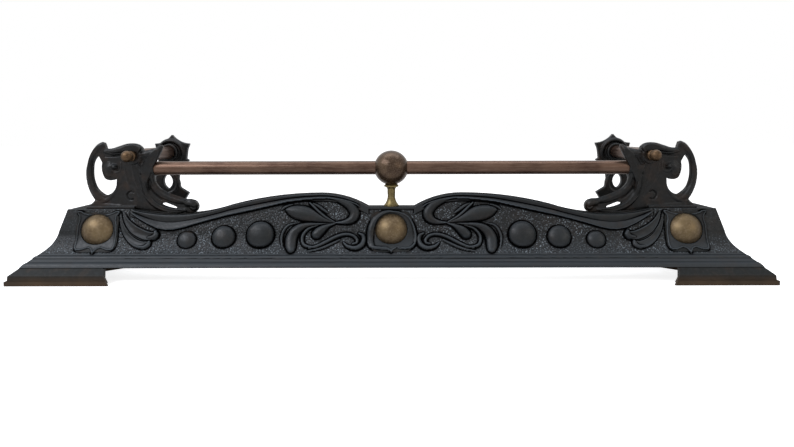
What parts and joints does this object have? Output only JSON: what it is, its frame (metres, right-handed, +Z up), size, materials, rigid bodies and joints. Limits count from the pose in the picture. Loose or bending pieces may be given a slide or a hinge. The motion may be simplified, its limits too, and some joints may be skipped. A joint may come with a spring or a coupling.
{
  "type": "hearth fender",
  "caption": "Low three-sided cast-iron hearth fender with relief front, brass rail on openwork corner brackets, and domed brass bosses.",
  "frame": {"origin": "middle of the overall box at floor level", "axes": "+Z up, -Y is the decorated front that faces the room, +X right seen from the front"},
  "size_m": [1.35, 0.31, 0.261],
  "materials": {
    "cast_iron": "black polished casting",
    "rail_brass": "copper-brown tarnish",
    "ball_bronze": "dark tarnish",
    "post_brass": "worn polish",
    "boss_brass": "aged, satin",
    "steel": "plain, oiled"
  },
  "bodies": {
    "root": {"front_kerb": "cast_iron", "left_return": "cast_iron", "right_return": "cast_iron", "left_corner_bracket": "cast_iron", "right_corner_bracket": "cast_iron", "left_rear_bracket": "cast_iron", "right_rear_bracket": "cast_iron", "left_front_rail": "rail_brass", "right_front_rail": "rail_brass", "left_side_rail": "rail_brass", "right_side_rail": "rail_brass", "rail_plugs": "rail_brass", "rail_ball": "ball_bronze", "rail_post": "post_brass", "left_finial_nut": "post_brass", "right_finial_nut": "post_brass", "left_boss": "boss_brass", "centre_boss": "boss_brass", "right_boss": "boss_brass", "left_tie_rod": "steel", "right_tie_rod": "steel", "ball_stud": "steel", "post_stud": "steel", "rail_grub_screws": "steel", "post_washer": "steel", "post_nut": "steel", "boss_studs": "steel", "boss_washers": "steel", "boss_nuts": "steel", "rear_rod_washers": "steel", "rear_rod_nuts": "steel", "corner_joint_bolts": "steel", "corner_joint_nuts": "steel", "corner_bracket_screws": "steel", "rear_bracket_screws": "steel"}
  },
  "joints": []
}
